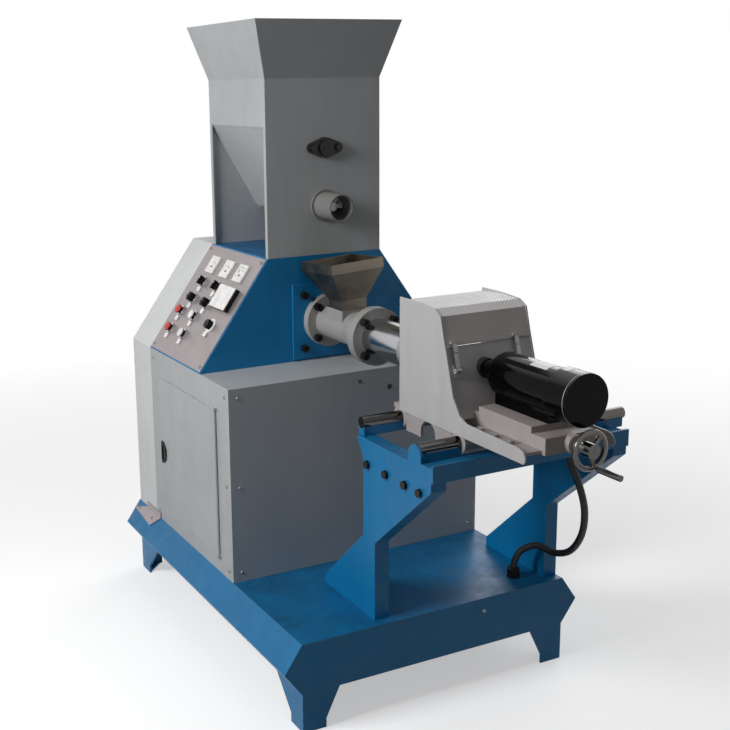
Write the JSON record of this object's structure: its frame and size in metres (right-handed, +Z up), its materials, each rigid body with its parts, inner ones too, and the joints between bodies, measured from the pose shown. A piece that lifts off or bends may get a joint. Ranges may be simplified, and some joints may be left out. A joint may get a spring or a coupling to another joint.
{
  "type": "fish feed pellet machine",
  "caption": "Screw extruder for floating fish feed: folded base, drive cabinet, hopper with feed auger, barrel and die, and a sliding motor-driven cutter on round rails.",
  "frame": {"origin": "on the floor, at the middle of the machine's footprint box", "axes": "+X to the operator's right when facing the die end, +Y from the cutter towards the drive, +Z up"},
  "size_m": [0.74, 1.4, 1.43],
  "materials": {
    "blue_paint": "gloss",
    "grey_paint": "satin",
    "pale_paint": "satin",
    "panel_steel": "brushed",
    "black_plastic": "matte",
    "white_plastic": "gloss",
    "red_plastic": "gloss",
    "screw_steel": "satin",
    "motor_paint": "satin",
    "black_enamel": "gloss",
    "black_steel": "blackened",
    "machined_iron": "machined",
    "bright_steel": "machined",
    "belt_rubber": "matte",
    "barrel_paint": "satin",
    "polished_chrome": "polished",
    "die_steel": "satin",
    "stainless": "brushed",
    "slide_casting": "primer",
    "hose_rubber": "satin"
  },
  "bodies": {
    "frame": {"base_frame": "blue_paint", "rear_bracket": "panel_steel", "cabinet_shell": "grey_paint", "sheet_screws": "screw_steel", "main_motor": "motor_paint", "drive_belts": "belt_rubber", "belt_guard": "pale_paint", "bearing_housing": "machined_iron", "upper_body": "blue_paint", "control_panel": "panel_steel", "meters_and_labels": "white_plastic", "speed_drive": "white_plastic", "switch_bases": "black_plastic", "hopper_body": "grey_paint", "hopper_chute": "grey_paint", "flange_bearings": "black_steel", "feed_tube": "pale_paint", "feed_gearmotor": "motor_paint", "feed_chain": "black_steel", "mount_plate": "blue_paint", "barrel": "barrel_paint", "machine_bolts": "black_steel", "head_tube": "polished_chrome", "die_plate": "die_steel", "die_nut": "die_steel", "inlet_funnel": "stainless", "pedestals": "blue_paint", "cross_beam": "blue_paint", "slide_rails": "polished_chrome", "conduit": "hose_rubber", "conduit_glands": "black_plastic"},
    "door": {"cabinet_door": "grey_paint", "door_handle": "black_plastic"},
    "motor_rotor": {"motor_pulley": "machined_iron"},
    "screw_drive": {"main_shaft": "bright_steel", "large_pulley": "machined_iron", "extruder_screw": "bright_steel"},
    "auger": {"feed_auger": "bright_steel"},
    "stirrer": {"agitator": "bright_steel"},
    "stop_upper": {"stop_button_upper": "red_plastic"},
    "start_upper": {"start_button_upper": "white_plastic"},
    "stop_lower": {"stop_button_lower": "red_plastic"},
    "start_lower": {"start_button_lower": "white_plastic"},
    "select_left": {"selector_left": "black_plastic"},
    "select_right": {"selector_right": "black_plastic"},
    "star_left": {"star_knob_left": "black_plastic"},
    "star_right": {"star_knob_right": "black_plastic"},
    "speed": {"speed_knob": "black_plastic"},
    "carriage": {"carriage": "slide_casting"},
    "slide": {"cross_slide": "slide_casting", "cutter_housing": "pale_paint", "cutter_motor": "black_enamel"},
    "wheel": {"lead_screw": "bright_steel", "handwheel": "polished_chrome"},
    "grip": {"crank_grip": "polished_chrome"},
    "lid": {"housing_lid": "pale_paint"},
    "latch_l": {"latch_left": "screw_steel"},
    "latch_r": {"latch_right": "screw_steel"},
    "knife": {"knife_shaft": "bright_steel", "knife_blades": "screw_steel"}
  },
  "joints": [
    {"name": "door_hinge", "type": "hinge", "parent": "frame", "child": "door", "pos_m": [-0.3333, 0.153, 0.4], "axis": [0, 0, 1], "range_deg": [0, 110]},
    {"name": "motor_spin", "type": "hinge", "parent": "frame", "child": "motor_rotor", "pos_m": [0, 0.618, 0.37], "axis": [0, 1, 0], "continuous": true},
    {"name": "screw_spin", "type": "hinge", "parent": "frame", "child": "screw_drive", "pos_m": [0, 0.22, 0.74], "axis": [0, 1, 0], "continuous": true},
    {"name": "auger_spin", "type": "hinge", "parent": "frame", "child": "auger", "pos_m": [0, 0.24, 1.011], "axis": [0, 1, 0], "continuous": true},
    {"name": "stirrer_spin", "type": "hinge", "parent": "frame", "child": "stirrer", "pos_m": [0, 0.24, 1.14435], "axis": [0, 1, 0], "continuous": true},
    {"name": "stop_upper_press", "type": "slide", "parent": "frame", "child": "stop_upper", "axis": [0.8126, 0, -0.5828], "range_m": [0, 0.004], "stiffness_N_per_m": 600},
    {"name": "start_upper_press", "type": "slide", "parent": "frame", "child": "start_upper", "axis": [0.8126, 0, -0.5828], "range_m": [0, 0.004], "stiffness_N_per_m": 600},
    {"name": "stop_lower_press", "type": "slide", "parent": "frame", "child": "stop_lower", "axis": [0.8126, 0, -0.5828], "range_m": [0, 0.004], "stiffness_N_per_m": 600},
    {"name": "start_lower_press", "type": "slide", "parent": "frame", "child": "start_lower", "axis": [0.8126, 0, -0.5828], "range_m": [0, 0.004], "stiffness_N_per_m": 600},
    {"name": "select_left_turn", "type": "hinge", "parent": "frame", "child": "select_left", "pos_m": [-0.20995, 0.484, 0.8124], "axis": [-0.8126, 0, 0.5828], "range_deg": [-90, 0]},
    {"name": "select_right_turn", "type": "hinge", "parent": "frame", "child": "select_right", "pos_m": [-0.20995, 0.398, 0.8124], "axis": [-0.8126, 0, 0.5828], "range_deg": [-90, 0]},
    {"name": "star_left_turn", "type": "hinge", "parent": "frame", "child": "star_left", "pos_m": [-0.23792, 0.484, 0.7734], "axis": [-0.8126, 0, 0.5828], "range_deg": [-270, 0]},
    {"name": "star_right_turn", "type": "hinge", "parent": "frame", "child": "star_right", "pos_m": [-0.23792, 0.398, 0.7734], "axis": [-0.8126, 0, 0.5828], "range_deg": [-270, 0]},
    {"name": "speed_turn", "type": "hinge", "parent": "frame", "child": "speed", "pos_m": [-0.26415, 0.319, 0.73683], "axis": [-0.8126, 0, 0.5828], "range_deg": [-270, 0]},
    {"name": "carriage_slide", "type": "slide", "parent": "frame", "child": "carriage", "axis": [1, 0, 0], "range_m": [-0.035, 0.12]},
    {"name": "cutter_feed", "type": "slide", "parent": "carriage", "child": "slide", "axis": [0, 1, 0], "range_m": [-0.08, 0]},
    {"name": "wheel_turn", "type": "hinge", "parent": "slide", "child": "wheel", "pos_m": [0.052, -0.595, 0.648], "axis": [0, 1, 0], "range_deg": [-1160, 5]},
    {"name": "grip_spin", "type": "hinge", "parent": "wheel", "child": "grip", "pos_m": [0.0608, -0.67, 0.61516], "axis": [0, 1, 0], "continuous": true},
    {"name": "lid_hinge", "type": "hinge", "parent": "slide", "child": "lid", "pos_m": [0.052, -0.18, 0.852], "axis": [-1, 0, 0], "range_deg": [0, 100]},
    {"name": "latch_left_turn", "type": "hinge", "parent": "slide", "child": "latch_l", "pos_m": [-0.033, -0.35071, 0.74313], "axis": [1, 0, 0], "range_deg": [0, 100]},
    {"name": "latch_right_turn", "type": "hinge", "parent": "slide", "child": "latch_r", "pos_m": [0.115, -0.35071, 0.74313], "axis": [1, 0, 0], "range_deg": [0, 100]},
    {"name": "knife_spin", "type": "hinge", "parent": "slide", "child": "knife", "pos_m": [0.035, -0.35, 0.74], "axis": [0, 1, 0], "continuous": true}
  ],
  "couplings": [
    {"joint": "motor_spin", "follows": "screw_spin", "ratio": 2.5},
    {"joint": "stirrer_spin", "follows": "auger_spin", "ratio": 1},
    {"joint": "wheel_turn", "follows": "cutter_feed", "rad_per_m": 251.33}
  ]
}
